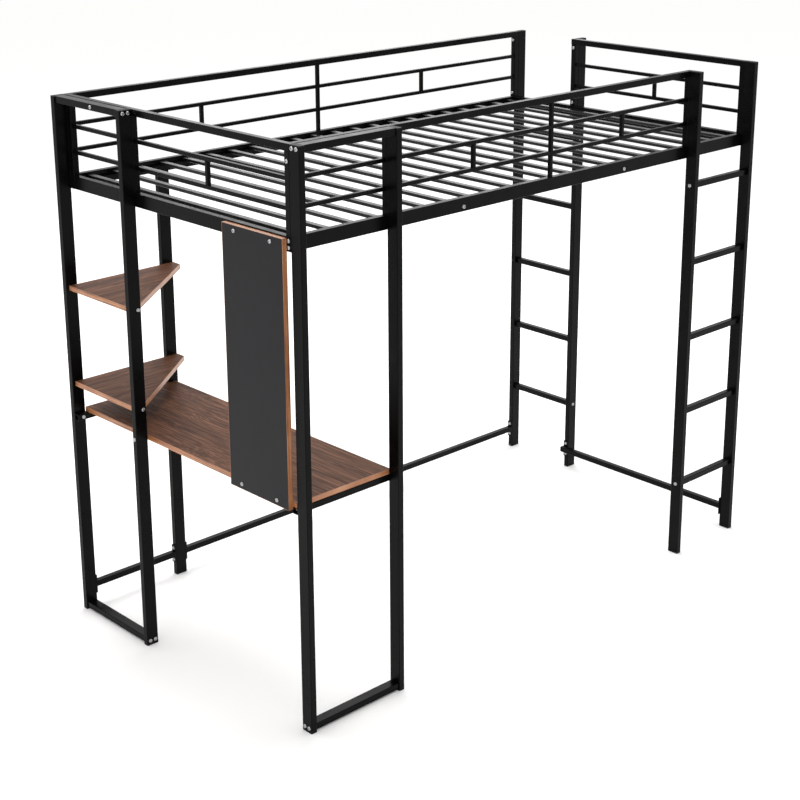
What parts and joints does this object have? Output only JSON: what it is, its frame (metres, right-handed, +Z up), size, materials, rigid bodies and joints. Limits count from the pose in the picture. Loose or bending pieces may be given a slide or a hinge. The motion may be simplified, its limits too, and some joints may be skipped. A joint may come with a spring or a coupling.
{
  "type": "loft bed with desk",
  "caption": "Raised single bed frame of square steel tube with guard rails, two upright ladders, a narrow desk under one end, two corner shelves and a side panel.",
  "frame": {"origin": "on the floor under the middle of the bed", "axes": "+X along the bed from the desk end to the ladder end, +Y from the front long side to the back, +Z up"},
  "size_m": [2.0632, 1.0972, 1.676],
  "materials": {
    "black_steel": "black powder coat, satin",
    "slat_steel": "black powder coat, satin",
    "walnut_laminate": "walnut-patterned laminate, satin",
    "tan_edge_band": "tan edge banding",
    "charcoal_board": "charcoal melamine",
    "black_plastic": "matt black",
    "zinc_steel": "zinc plated"
  },
  "bodies": {
    "root": {"desk_post_back_left": "black_steel", "desk_post_left_inner": "black_steel", "desk_post_front_left": "black_steel", "desk_post_front_inner": "black_steel", "desk_post_back_inner": "black_steel", "ladder_post_back_right": "black_steel", "ladder_post_end_inner": "black_steel", "ladder_post_front_inner": "black_steel", "ladder_post_front_right": "black_steel", "left_leg_bottom_rail": "black_steel", "front_leg_bottom_rail": "black_steel", "left_leg_top_rail": "black_steel", "front_leg_top_rail": "black_steel", "front_ladder_rungs": "black_steel", "end_ladder_rungs": "black_steel", "left_bed_frame": "black_steel", "front_bed_frame": "black_steel", "back_bed_frame": "black_steel", "right_bed_frame": "black_steel", "back_rail_spigot": "black_steel", "back_stretcher_desk": "black_steel", "back_stretcher_long": "black_steel", "end_stretcher": "black_steel", "desk_support_back": "black_steel", "desk_support_front": "black_steel", "slat_bearer_front": "black_steel", "slat_bearer_back": "black_steel", "bed_slats": "slat_steel", "foot_caps": "black_plastic", "post_top_caps": "black_plastic", "leg_rail_plugs": "black_plastic", "rung_plugs": "black_plastic", "bed_rail_plugs": "black_plastic", "guard_end_plugs": "black_plastic", "desk_top": "walnut_laminate", "lower_shelf": "walnut_laminate", "upper_shelf": "walnut_laminate", "side_panel": "charcoal_board", "desk_edge_band": "tan_edge_band", "side_panel_edge_band": "tan_edge_band", "lower_shelf_edge_band": "tan_edge_band", "upper_shelf_edge_band": "tan_edge_band", "rivet_nuts": "zinc_steel", "board_inserts": "zinc_steel", "bearer_nuts": "zinc_steel", "leg_frame_bolts": "zinc_steel", "post_to_bed_bolts": "zinc_steel", "bed_corner_bolts": "zinc_steel", "guard_rail_bolt": "zinc_steel", "rung_bolts": "zinc_steel", "stretcher_bolts": "zinc_steel", "desk_support_bolts": "zinc_steel", "shelf_bolts": "zinc_steel", "panel_bolts": "zinc_steel", "desk_side_bolt": "zinc_steel", "bearer_bolts": "zinc_steel", "spigot_bolt": "zinc_steel"}
  },
  "joints": []
}
